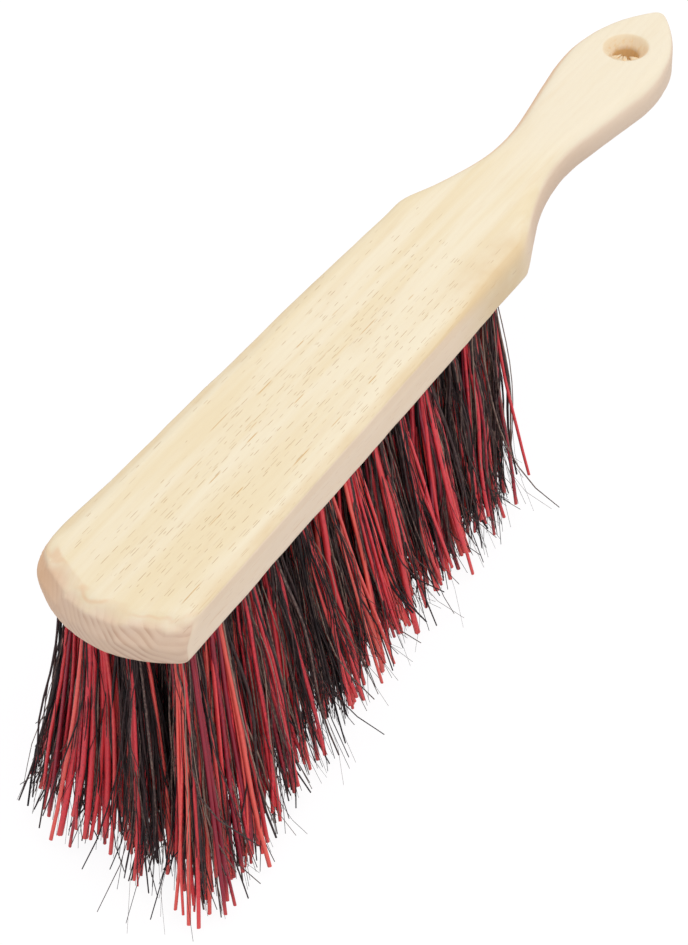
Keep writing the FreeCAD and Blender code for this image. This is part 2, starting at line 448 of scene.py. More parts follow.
class FibreNodes(Nodes):
    """Grows tufts: strands in each lock, fibres in each strand, a tube along each fibre's bent line."""

    def __init__(self, tree):
        super().__init__(tree)
        self.given = self.add("NodeGroupInput").outputs
        self.setting = {key: self.given[label] for key, kind, label, about in FIBRE_SETTINGS}

    def random(self, low, high, choice, kind="FLOAT"):
        """A random value, the same on every run."""
        seed = self.plus(self.setting["seed"], CHOICES[choice])
        return self.first("FunctionNodeRandomValue", {"data_type": kind}, min=low, max=high, seed=seed)

    def chance(self, choice):
        """A random number from 0 to 1."""
        return self.random(0.0, 1.0, choice)

    def around(self, choice, reach):
        """A random offset in plan, up to a reach either way."""
        return self.scaled(self.random((-1.0, -1.0, 0.0), (1.0, 1.0, 0.0), choice, "FLOAT_VECTOR"), reach)

    def store(self, geometry, kind="FLOAT_VECTOR", **values):
        """Points that carry more values, by name."""
        settings = {"data_type": kind, "domain": "POINT"}
        for name, value in values.items():
            inputs = dict(geometry=geometry, name=name, value=value)
            geometry = self.first("GeometryNodeStoreNamedAttribute", settings, **inputs)
        return geometry

    def recall(self, name, kind="FLOAT_VECTOR"):
        """A value that points carry."""
        return self.first("GeometryNodeInputNamedAttribute", {"data_type": kind}, name=name)

    def repeat(self, points, amount):
        """Each point some number of times."""
        settings = {"domain": "POINT"}
        return self.first("GeometryNodeDuplicateElements", settings, geometry=points, amount=amount)

    def strands(self, points):
        """A point for each strand: its place is a share of the lock's reach outwards and one sideways."""
        change = self.times(self.setting["strand_change"], self.random(-1.0, 1.0, "strand_change"))
        points = self.repeat(points, self.plus(self.setting["strands"], self.math("ROUND", change)))
        reach = self.math("POWER", self.chance("reach"), CROWDING_POWER)
        narrowed = self.minus(1.0, self.times(reach, NARROWING))
        sideways = self.times(self.random(-1.0, 1.0, "sideways"), self.setting["breadth"], narrowed)
        points = self.store(points, place=self.xyz(reach, sideways))
        return self.store(points, "FLOAT", strand_tone=self.chance("strand_tone"))

    def fan(self, lock_x, lock_y):
        """How far a fibre lies from the middle of its tuft, in plan."""
        place = self.moved(self.recall("place"), self.around("place", self.setting["strand_size"]))
        outwards, sideways = self.parts(place)[:2]
        out = self.scaled(self.xyz(lock_x, lock_y), outwards)
        aside = self.scaled(self.xyz(self.times(lock_y, -1.0), lock_x), sideways)
        return self.moved(out, aside)

    def root(self, fan, lock_reach):
        """Where a fibre starts, in its bore."""
        mouth = self.first("GeometryNodeInputPosition")
        up_the_bore = self.vector("NORMALIZE", self.vector("SUBTRACT", mouth, self.recall("tip")))
        held = self.moved(mouth, self.scaled(up_the_bore, self.setting["hold"]))
        in_bore = self.math("DIVIDE", self.setting["root_radius"], lock_reach)
        return self.moved(held, self.scaled(fan, in_bore))

    def end(self, fan, lock_z, root, is_stray):
        """Where a fibre ends, near its lock's end."""
        reach = self.random(LEAST_STRAY, 1.0, "stray_reach")
        strayed = self.times(reach, self.setting["stray_reach"], is_stray)
        spread = self.times(self.setting["spread"], self.plus(strayed, 1.0))
        lock_end = self.moved(self.recall("tip"), self.xyz(z=lock_z))
        aim = self.moved(lock_end, self.scaled(fan, spread))
        more = self.times(self.math("POWER", self.chance("wildness"), SPLAY_POWER), MORE_SPLAY)
        splay = self.times(self.setting["splay"], self.plus(more, LEAST_SPLAY))
        aim = self.moved(aim, self.around("splay", splay))
        uneven = self.times(self.chance("short"), self.chance("shorter"))
        cut = self.minus(1.0, self.times(uneven, self.setting["trim"]))
        return self.moved(root, self.scaled(self.vector("SUBTRACT", aim, root), cut))

    def radius(self, is_stray):
        """Half a fibre's thickness."""
        thick = self.times(self.math("POWER", self.chance("thickness"), THICK_POWER), THICKEST + 1.0)
        change = self.times(self.setting["diameter_change"], self.minus(thick, 1.0))
        half = self.times(self.setting["diameter"], 0.5)
        thinning = self.minus(1.0, self.times(is_stray, STRAY_THINNING))
        return self.times(self.plus(change, 1.0), half, thinning)

    def fibres(self, points):
        """A point for each fibre, which carries its root, its end, its bends, its thickness and its tone."""
        points = self.repeat(points, self.setting["fibres"])
        lock_x, lock_y, lock_z = self.parts(self.recall("lock"))
        fan = self.fan(lock_x, lock_y)
        is_stray = self.math("LESS_THAN", self.chance("stray"), self.setting["stray_share"])
        root = self.root(fan, self.vector("LENGTH", self.xyz(lock_x, lock_y)))
        end = self.end(fan, lock_z, root, is_stray)
        own_tone = self.times(self.chance("tone"), 1.0 - STRAND_TONE_SHARE)
        tone = self.plus(self.times(self.recall("strand_tone", "FLOAT"), STRAND_TONE_SHARE), own_tone)
        radius = self.radius(is_stray)
        bow = self.around("bow", self.setting["bow"])
        stray_curl = self.times(is_stray, self.setting["stray_curl"])
        curl = self.around("curl", self.plus(self.setting["curl"], stray_curl))
        wave = self.around("wave", self.setting["wave"])
        twist = self.random(0.0, math.tau, "twist")
        points = self.store(points, root=root, end=end, bow=bow, curl=curl, wave=wave)
        return self.store(points, "FLOAT", twist=twist, fibre_radius=radius, tone=tone)

    def lines(self, points):
        """A line for each fibre, bent from its root to its end."""
        line = self.first("GeometryNodeCurvePrimitiveLine", end=(0.0, 0.0, 1.0))
        line = self.first("GeometryNodeResampleCurve", curve=line, count=self.setting["rings"])
        curves = self.first("GeometryNodeInstanceOnPoints", points=points, instance=line)
        curves = self.first("GeometryNodeRealizeInstances", geometry=curves)
        along = self.first("GeometryNodeSplineParameter")
        out_x, out_y, down = self.parts(self.vector("SUBTRACT", self.recall("end"), self.recall("root")))
        spread = self.math("POWER", along, self.plus(self.setting["hang"], 1.0))
        run = self.xyz(self.times(out_x, spread), self.times(out_y, spread), self.times(down, along))
        bent = self.moved(self.recall("root"), run)
        bends = {
            "bow": self.times(along, self.minus(1.0, along), 4.0),
            "curl": self.math("POWER", along, CURL_POWER),
            "wave": self.math("SINE", self.times(along, WAVE_TURNS * math.tau)),
        }
        for name, amount in bends.items():
            bent = self.moved(bent, self.scaled(self.recall(name), amount))
        bent_x, bent_y, bent_z = self.parts(bent)
        too_far = self.minus(self.math("ABSOLUTE", bent_y), self.setting["free_side"])
        back = self.times(self.math("MAXIMUM", too_far, 0.0), SIDE_HOLD, self.math("SIGN", bent_y))
        bent = self.xyz(bent_x, self.minus(bent_y, back), bent_z)
        curves = self.store(curves, "FLOAT", along=along)
        curves = self.first("GeometryNodeSetPosition", geometry=curves, position=bent)
        return self.first("GeometryNodeSetCurveTilt", curve=curves, tilt=self.recall("twist", "FLOAT"))

    def tubes(self, curves):
        """A tube along each line, with a flattened section that thins towards the fibre's end."""
        section = self.first("GeometryNodeCurvePrimitiveCircle", resolution=self.setting["sides"], radius=1.0)
        flattened = self.xyz(1.0, self.setting["flatness"], 1.0)
        section = self.first("GeometryNodeTransform", geometry=section, scale=flattened)
        to_end = self.math("POWER", self.first("GeometryNodeSplineParameter"), POINT_POWER)
        left = self.minus(1.0, self.times(self.setting["point"], to_end))
        scale = self.times(self.recall("fibre_radius", "FLOAT"), left)
        tubes = self.first(
            "GeometryNodeCurveToMesh", curve=curves, profile_curve=section, scale=scale, fill_caps=True
        )
        tubes = self.first("GeometryNodeSetShadeSmooth", geometry=tubes)
        for name in WORKING_VALUES:
            tubes = self.first("GeometryNodeRemoveAttribute", geometry=tubes, name=name)
        tubes = self.first("GeometryNodeRealizeInstances", geometry=tubes)
        return self.first("GeometryNodeSetMaterial", geometry=tubes, material=self.given["Material"])


def fibre_tree():
    """The tree that grows tufts from points at their mouths, one for each lock."""
    tree = bpy.data.node_groups.new("fibre_tufts", "GeometryNodeTree")
    tree.is_modifier = True
    add_socket(tree, "Geometry", "NodeSocketGeometry", "OUTPUT")
    add_socket(tree, "Geometry", "NodeSocketGeometry")
    for key, kind, label, about in FIBRE_SETTINGS:
        add_socket(tree, label, SOCKET_KINDS[kind])
    add_socket(tree, "Material", "NodeSocketMaterial")
    nodes = FibreNodes(tree)
    points = nodes.first("GeometryNodeMeshToPoints", mesh=nodes.given["Geometry"])
    tubes = nodes.tubes(nodes.lines(nodes.fibres(nodes.strands(points))))
    nodes.add("NodeGroupOutput", geometry=tubes)
    return tree


def tuft_node(row, index):
    """The frame's name for one tuft."""
    return f"tuft_{row}_{index:02d}"


def tuft_locks(row, index):
    """A tuft's mouth at the block, the middle of its tip on the floor, and its locks' ends from there."""
    corners = np.array([vertex.co for vertex in frame["nodes"][tuft_node(row, index)].data.vertices])
    corners = np.unique(corners.round(6), axis=0)
    mouth = corners[abs(corners[:, 2] - UNDERSIDE) < MOUTH_BAND].mean(0)
    tip = corners[corners[:, 2] < UNDERSIDE / 2]
    parting_z = tip[:, 2].max()
    ends = tip[tip[:, 2] < parting_z - PARTING_CLEARANCE]
    middle = np.array([*ends[:, :2].mean(0), 0.0])
    return mouth, middle, ends - middle


def set_tip(tip, settings):
    """A tip's place after the set: leaning right, more so at the right side, swept back on the left and
    forward in the middle."""
    behind_nose = tip[0] - cad_box[0].x
    amount = max(0.0, min(1.0, (settings.set_reach - behind_nose) / settings.set_fade))
    off_middle = tip[1] / cad_box[1].y
    back = settings.sweep * (1 + off_middle) / 2 - settings.bulge * (1 - off_middle ** 2)
    lean = settings.lean * (1 + settings.right_lean * max(0.0, -off_middle))
    return tip + amount * np.array([back, -lean, 0.0])


def row_points(name, row, settings):
    """A mesh with one point at the mouth of a tuft for each of its locks, which knows the lock's end."""
    mouths, tips, locks = [], [], []
    for index in range(1, TUFTS_PER_ROW + 1):
        mouth, tip, ends = tuft_locks(row, index)
        mouths.extend([mouth] * len(ends))
        tips.extend([set_tip(tip, settings)] * len(ends))
        locks.extend(ends)
    mesh = bpy.data.meshes.new(name)
    mesh.from_pydata([tuple(mouth) for mouth in mouths], [], [])
    for attribute, values in (("tip", tips), ("lock", locks)):
        layer = mesh.attributes.new(attribute, "FLOAT_VECTOR", "POINT")
        layer.data.foreach_set("vector", np.array(values, np.float32).ravel())
    return mesh


def linked(name, mesh):
    """A new object in the scene."""
    piece = bpy.data.objects.new(name, mesh)
    bpy.context.scene.collection.objects.link(piece)
    return piece


def made_plain(piece):
    """Turns what a piece's modifiers make into its own plain mesh."""
    graph = bpy.context.evaluated_depsgraph_get()
    mesh = bpy.data.meshes.new_from_object(
        piece.evaluated_get(graph), preserve_all_data_layers=True, depsgraph=graph
    )
    piece.modifiers.clear()
    piece.data = mesh
    mesh.name = piece.name


def grow_row(tree, kind, row, tufts, settings, material):
    """One row's fibres of one kind, as a piece that stands for that row's tufts of the same slot."""
    name = f"{kind}_row_{row}"
    piece = linked(name, row_points(name, row, tufts))
    modifier = piece.modifiers.new("grow", "NODES")
    modifier.node_group = tree
    identifiers = {item.name: item.identifier for item in tree.interface.items_tree if item.in_out == "INPUT"}
    for key, setting_kind, label, about in FIBRE_SETTINGS:
        modifier[identifiers[label]] = getattr(settings, key)
    modifier[identifiers["Seed"]] = settings.seed + ROW_SEED_STEP * row
    modifier[identifiers["Material"]] = material
    made_plain(piece)
    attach(piece, "root")
    in_row = [tuft_node(row, index) for index in range(1, TUFTS_PER_ROW + 1)]
    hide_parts(*[tuft for tuft in in_row if SLOT_OF_NODE[tuft] == kind])


# Stock

# Corners of the CAD mesh that are nearer than this are joined, and each smoothing pass goes halfway
MERGE_DISTANCE = 1e-6
SMOOTHING = 0.5

# Where in the fixed cell noise the nose's facets and the splinters are drawn
FACET_DRAW = (3.5, 7.5)
SPLINTER_DRAW = (1.5, 5.5)

# Hand sanding: length of its waves, how much finer and weaker the small ones are, and a power that
# keeps it off faces only when they lie flat
SAND_WAVE = 13 * MM
SMALL_WAVE_SCALE = 2.3
SMALL_WAVE_SHARE = 0.4
FLAT_POWER = 6

# How far from straight up the nose's facets start and end, in radians, and how far they wander
NOSE_FACETS = ((0.15, 0.75), (0.75, 1.5))
FACET_WANDER = 0.28

# How far behind the nose its facets end and over what length they fade, and how its lobes wander
FACET_REACH = 16 * MM
FACET_FADE = 6 * MM
LOBE_WANDER = 0.5
LOBE_WANDER_LENGTH = 14 * MM

# Worn band: where it starts and stops, how it fades there, how deep it goes and how its width changes
BAND_START = 3 * MM
BAND_START_FADE = 8 * MM
BAND_STOP = 18 * MM
BAND_STOP_FADE = 40 * MM
BAND_DEPTH = 3.5 * MM
BAND_CHANGE = 0.3
BAND_CHANGE_LENGTH = 15 * MM

# The left band falls more and the right one less by this share
LEFT_DROP = 0.5

# A point is in the band where its normal points up by this much, and is moved to the band's top or side
# where its normal points there by this much
BAND_FACING = -0.2
LEAST_FACING = 0.05

# Worn shoulders: their reach, how it stretches forwards, how soon the wear is full and how it fades below
SHOULDER_REACH = 30 * MM
SHOULDER_STRETCH = 0.55
SHOULDER_CORE = 1.6
SHOULDER_CLEAR = 1 * MM
SHOULDER_FADE = 4 * MM

# Torn grain: its band as shares of the bore's radius, its depth, a tear's width, how much slower tears
# change along the grain, how much more of the rim tears, and a power that keeps tears near the block
TORN_BAND_SHARES = (0.97, 1.55)
TORN_DEPTH = 3.0 * MM
TEAR_WIDTH = 0.85 * MM
TEAR_ALONG_SHARE = 0.15
TEAR_MORE = 0.15
TORN_SIDE_POWER = 1.5

# Splinters: where round the bore they start and how far they run, in degrees, how far they are set back
# and how many sides they have
SPLINTER_TURN = 135
SPLINTER_RUN = 130
SPLINTER_SETBACK = 0.3 * MM
SPLINTER_SIDES = 6

# Mean and change of a splinter's rise, of its reach as a share and of its foot's radius in millimetres,
# and how far draws swing either way
SPLINTER_RISE = (0.35, 0.5)
SPLINTER_REACH_SHARE = (0.65, 0.7)
SPLINTER_RADIUS = (1.2, 0.7)
SPLINTER_SWING = 0.6

# Radius of a splinter's tip, and the share of its reach by which its middle lies off its foot
SPLINTER_TIP = 0.18 * MM
SPLINTER_OUT_SHARE = 0.35


def merged_copy(node):
    """A CAD node's mesh with its loose triangles joined."""
    mesh = node.data.copy()
    shape = bmesh.new()
    shape.from_mesh(mesh)
    bmesh.ops.remove_doubles(shape, verts=shape.verts, dist=MERGE_DISTANCE)
    shape.to_mesh(mesh)
    shape.free()
    mesh.materials.clear()
    return mesh


def sanded(point, normal, settings):
    """How far hand sanding leaves a point of the stock off its true surface: nothing on the flat faces."""
    place = point / SAND_WAVE
    wave = noise.noise(place) + SMALL_WAVE_SHARE * noise.noise(place * SMALL_WAVE_SCALE)
    return normal * settings.sanding * wave * (1 - abs(normal.z) ** FLAT_POWER)


def faceted(point, normal, settings):
    """How far sanding, stroke by stroke across the nose, flattens its round-over between ridges."""
    fade = (NOSE + FACET_REACH - point.x) / FACET_FADE
    if fade <= 0:
        return Vector()
    lean = math.acos(max(-1.0, min(1.0, normal.z)))
    lobe = point.y / settings.lobe_width + LOBE_WANDER * noise.noise(point / LOBE_WANDER_LENGTH)
    wander = FACET_WANDER * noise.cell(Vector((math.floor(lobe) + 0.5, *FACET_DRAW)))
    hollow = (1 - (2 * (lobe % 1) - 1) ** 2) * max(0.0, math.sin(2 * lean)) ** 0.5
    depth = settings.lobe_depth * hollow
    for start, end in NOSE_FACETS:
        off_middle = lean - wander - (start + end) / 2
        half = (end - start) / 2
        if abs(off_middle) < half:
            depth += settings.nose_round * (1 - math.cos(half) / math.cos(off_middle))
    return normal * (-depth * min(1.0, fade))


def block_corners():
    """The block's left front corner and left shoulder, between which its side runs straight."""
    corners = [vertex.co for vertex in frame["nodes"]["stock"].data.vertices]
    front = max(corners, key=lambda corner: corner.y)
    block_share = 0.9
    wide = [corner for corner in corners if corner.y > block_share * front.y]
    return front, max(wide, key=lambda corner: corner.x)


def worn_edge(point, normal, settings, front, shoulder):
    """How far a point of the block's upper edge lies off its worn shape, a shallow band that falls to
    a crisp corner, and how far across that band it is."""
    from_front = (point.x - front.x - BAND_START) / BAND_START_FADE
    to_shoulder = (shoulder.x - BAND_STOP - point.x) / BAND_STOP_FADE
    fade = min(1.0, from_front, to_shoulder)
    if fade <= 0 or point.z < TOP - BAND_DEPTH or normal.z < BAND_FACING:
        return Vector(), 0.0
    share_along = (point.x - front.x) / (shoulder.x - front.x)
    to_side = front.y + (shoulder.y - front.y) * share_along - abs(point.y)
    outwards = math.copysign(1.0, point.y)
    change = noise.noise(Vector((point.x / BAND_CHANGE_LENGTH, outwards, 0.0)))
    band = settings.band_width * (1 + BAND_CHANGE * change)
    into_band = band - to_side
    if into_band < 0:
        return Vector(), 0.0
    slope = settings.band_drop / settings.band_width * (1 + LEFT_DROP * outwards)
    lean_out = normal.y * outwards
    moves = []
    if normal.z > LEAST_FACING:
        moves.append((TOP - point.z - slope * into_band) / (normal.z + slope * max(0.0, lean_out)))
    if lean_out > LEAST_FACING:
        moves.append(to_side / lean_out)
    if not moves:
        return Vector(), 0.0
    return normal * (min(moves) * fade), fade * into_band / band


def smooth(piece, passes, group=""):
    """Adds smoothing to a piece, all over or by the weights of a vertex group, and makes it plain."""
    modifier = piece.modifiers.new("smooth", "SMOOTH")
    modifier.factor = SMOOTHING
    modifier.iterations = passes
    modifier.vertex_group = group
    made_plain(piece)


def round_shoulders(piece, settings, shoulder):
    """Smooths the stock round the block's two rear corners, down to just above its underside."""
    group = piece.vertex_groups.new(name="shoulders")
    for vertex in piece.data.vertices:
        behind = vertex.co.x - shoulder.x
        along = behind if behind > 0 else SHOULDER_STRETCH * behind
        off_corner = math.hypot(along, abs(vertex.co.y) - shoulder.y)
        above = (vertex.co.z - UNDERSIDE - SHOULDER_CLEAR) / SHOULDER_FADE
        weight = min(1.0, SHOULDER_CORE * (1 - off_corner / SHOULDER_REACH), above)
        if weight > 0:
            group.add([vertex.index], weight, "REPLACE")
    smooth(piece, settings.shoulder_wear, group.name)
    piece.vertex_groups.clear()


def torn(point, settings):
    """How far torn grain stands into the hanging bore, on the side of the rim nearer the block."""
    across = Vector((point.x - BORE_CENTRE.x, point.y - BORE_CENTRE.y, 0.0))
    inner, outer = TORN_BAND_SHARES
    in_band = BORE_RADIUS * inner < across.length < BORE_RADIUS * outer
    if not in_band or point.z < TOP - TORN_DEPTH:
        return Vector()
    towards_block = max(0.0, -across.normalized().x) ** TORN_SIDE_POWER
    place = Vector((point.y, point.x * TEAR_ALONG_SHARE, 0.0)) / TEAR_WIDTH
    tear = max(0.0, noise.noise(place) + TEAR_MORE)
    return across.normalized() * (-settings.torn_rim * tear * towards_block)


def add_splinters(mesh, settings):
    """Torn slivers of grain on the lower edge of the bore's rim, on the side nearer the block."""
    shape = bmesh.new()
    shape.from_mesh(mesh)
    middle = Vector((BORE_CENTRE.x, BORE_CENTRE.y, TOP - settings.rim_depth))
    for index in range(settings.splinters):
        turn = math.radians(SPLINTER_TURN + SPLINTER_RUN * (index + 0.5) / settings.splinters)
        cell = noise.cell_vector(Vector((index + 0.5, *SPLINTER_DRAW)))
        draws = [SPLINTER_SWING * (2 * value - 1) for value in cell]
        drawn = zip((SPLINTER_RISE, SPLINTER_REACH_SHARE, SPLINTER_RADIUS), draws)
        rise, reach_share, radius = [mean + change * draw for (mean, change), draw in drawn]
        reach = settings.torn_rim * reach_share
        outwards = Vector((math.cos(turn), math.sin(turn), 0.0))
        foot = middle + outwards * (BORE_RADIUS + SPLINTER_SETBACK)
        pointing = (Vector((0.0, 0.0, rise)) - outwards).normalized()
        place = Matrix.Translation(foot + pointing * reach * SPLINTER_OUT_SHARE)
        turned = pointing.to_track_quat("Z", "Y").to_matrix().to_4x4()
        bmesh.ops.create_cone(
            shape, cap_ends=True, segments=SPLINTER_SIDES, depth=reach, matrix=place @ turned,
            radius1=radius * MM, radius2=SPLINTER_TIP,
        )
    shape.to_mesh(mesh)
    shape.free()


def dressed_stock(settings, material):
    """The stock, remeshed from its CAD node, with eased and worn edges, sanding and a torn rim."""
    piece = linked("beech_stock", merged_copy(frame["nodes"]["stock"]))
    remesh = piece.modifiers.new("even", "REMESH")
    remesh.mode = "VOXEL"
    remesh.voxel_size = settings.mesh_size
    smooth(piece, settings.softening)
    front, shoulder = block_corners()
    round_shoulders(piece, settings, shoulder)
    moved, edges = [], []
    for vertex in piece.data.vertices:
        point, normal = vertex.co, vertex.normal
        offset, edge = worn_edge(point, normal, settings, front, shoulder)
        offset += sanded(point, normal, settings) + faceted(point, normal, settings) + torn(point, settings)
        moved.extend(point + offset)
        edges.append(edge)
    piece.data.vertices.foreach_set("co", moved)
    # How far across the worn band each point lies, which places the band's painted shade
    piece.data.attributes.new("edge", "FLOAT", "POINT").data.foreach_set("value", edges)
    add_splinters(piece.data, settings)
    piece.data.shade_smooth()
    piece.data.update()
    piece.data.materials.clear()
    piece.data.materials.append(material)
    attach(piece, "root")
    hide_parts("stock")


# Finishes

# Noise patterns of the wood: how fast each changes along x, y and z, per millimetre, detail, roughness
PATCHES = ((0.11, 0.11, 0.11), 2.0, 0.55)
UNEVEN_DEPTH = ((0.12, 0.12, 0.12), 1.0, 0.55)
STREAKS = ((0.012, 0.16, 0.16), 4.0, 0.55)
TAN_STREAKS = ((0.03, 0.19, 0.19), 3.0, 0.55)
RING_WARP = ((0.02, 0.05, 0.05), 2.0, 0.55)
TORN_SPOTS = ((0.5, 1.1, 0.5), 3.0, 0.55)
FINE_FIBRE = ((0.25, 4.0, 4.0), 3.0, 0.55)
FLECK_ROWS = ((0.015, 0.32, 0.0), 3.0, 0.6)

# Noise patterns along fibres and wire
FIBRE_STREAKS = ((3.0, 3.0, 0.22), 3.0, 0.65)
WIRE_LINES = ((0.6, 9.0, 9.0), 2.0, 0.5)

# Bands of these patterns over which a finish comes in, and the strengths that it goes between
STREAK_BAND = (0.34, 0.68)
TAN_BAND = ((0.52, 0.8), (0.0, 0.4))
DEPTH_BAND = ((0.25, 0.75), (-0.6, 0.6))
RING_PATCHES = ((0.35, 0.65), (0.1, 0.5))
EDGE_SHADE_PATCHES = ((0.25, 0.7), (0.5, 0.95))
SHOULDER_PATCHES = ((0.3, 0.65), (0.45, 1.0))
LINE_PATCHES = ((0.35, 0.6), (0.1, 0.45))
TORN_BAND = (0.5, 0.7)
FINE_BAND = ((0.35, 0.75), (0.0, 0.08))
TONE_BAND = ((0.3, 0.7), (-0.15, 0.15))
GLOSS_BAND = (0.2, 0.8)

# Where along the broom a finish comes in or ends, in millimetres, and its strengths
NOSE_MM = NOSE / MM
TOP_MM = TOP / MM
NOSE_END = (NOSE_MM + 22.0, NOSE_MM + 14.0)
FLECKS_START = (NOSE_MM + 7.0, NOSE_MM + 18.0)
FLECKS_END = (45.0, -25.0)
ROUNDING_START = (-40.0, 6.0)
ROUNDING_END = (46.0, 28.0)
SHOULDER_START = (-6.0, 20.0)
SHOULDER_END = (44.0, 28.0)
NECK_START = (30.0, 48.0)
HANDLE_START = ((55.0, 90.0), (0.0, 0.75))
HANDLE_SHADE_FADE = ((66.0, 100.0), (0.85, 0.5))

# The same across the broom, where the left side has the positive places
FLECKS_RIGHT = ((16.0, 2.0), (0.4, 1.0))
RINGS_RIGHT = ((16.0, -2.0), (0.4, 1.0))
ROUNDING_RIGHT = ((-10.0, -18.0), (0.15, 0.6))
SHOULDER_RIGHT = ((-6.0, -19.0), (0.0, 0.6))
CORNER_LEFT = ((4.0, 20.0), (0.0, 0.7))

# Below the top: the nose's end grain, the line of painted shade where it starts and that line's half width
NOSE_FACE_DEPTH = (-0.2, 2.8)
NOSE_LINE_DEPTH = 0.5
NOSE_LINE_WIDTH = (0.35, 0.0)

# How a surface is turned, as parts of its normal
NOSE_FACE_TURN = (0.03, 0.25)
NOSE_LINE_TURN = (0.03, 0.2)
END_TURN = (0.5, 0.95)
SIDE_TURN = (0.75, 0.4)
ROUNDING_TOP = (0.998, 0.88)
ROUNDING_FOOT = (-0.1, 0.6)
LEFT_TURN = ((0.3, 0.75), (0.0, 0.75))
LEFT_RISE = (0.15, 0.45)

# The hanging bore's rim, torn wood and wall: where they start and are full, as shares of its radius,
# their strengths, and how far below the rim the wall's painted light is full
RIM_SHARES = ((1.85, 1.65), (0.0, 0.6))
TORN_SHARES = ((1.8, 1.3), (0.0, 0.5))
WALL_SHARES = ((1.12, 1.0), (0.0, 0.9))
WALL_FADE = 0.8

# Growth rings: their pith, how far they warp, where in a ring its late wood starts and ends, how they
# keep to the end grain, and the strengths of the rings elsewhere and of the end grain's own colour
PITH_Y = -30.0
PITH_Z = TOP_MM + 18.0
WARP = 7.0
LATE_WOOD_START = (0.25, 0.85)
LATE_WOOD_END = (1.0, 0.88)
RING_POWER = 3.0
RINGS_ELSEWHERE = 0.02
END_GRAIN_STRENGTH = 0.75

# Flecks: length and width of a cell, half the length and width of its dash, and the chance of one by row
SHORT_FLECKS = dict(cell=(4.6, 0.8, 1.0), half=(1.7, 0.09), chance=((0.32, 0.66), (0.22, 0.8)))
LONG_FLECKS = dict(cell=(16.0, 1.6, 1.0), half=(3.8, 0.14), chance=((0.42, 0.66), (0.07, 0.38)))

# How short and long dashes get, how weak and strong, and where along and across a dash it and its glow
# end and are full
FLECK_LENGTH_SHARES = (0.4, 1.2)
FLECK_TONES = (0.3, 1.0)
DASH_SHARES = ((1.0, 0.5), (1.0, 0.4))
GLOW_SHARES = ((1.3, 0.3), (2.6, 0.4))

# Strengths of the flecks and their glow, and how far their rows move across for each step down
SHORT_STRENGTH = 0.62
LONG_STRENGTH = 0.7
SHORT_GLOW = 0.15
LONG_GLOW = 0.5
SLANT = 0.8

# Where across its band the painted shade of the worn edge starts and is full, and the strength of the sides'
# tint
EDGE_SHADE_SHARES = (0.05, 0.7)
SIDE_STRENGTH = 0.68

# Surface of the wood: height of its fine fibre, the bump's strength and depth, roughness and gloss
FINE_HEIGHT = 0.4
BUMP_STRENGTH = 0.25
BUMP_DEPTH = 0.1 * MM
BEECH_ROUGHNESS = (0.5, 0.66)
BEECH_GLOSS = 0.3

# Fibres: the tones at which they are no more shaded and are bright, and the strength of their ends' colour
BODY_TONES = (0.1, 0.5)
BRIGHT_TONES = (0.5, 0.95)
TIP_STRENGTH = 0.6

# Wire: its two greys and its roughness
WIRE_GREYS = (seen(196, 196, 198), seen(150, 150, 154))
WIRE_ROUGHNESS = (0.22, 0.42)


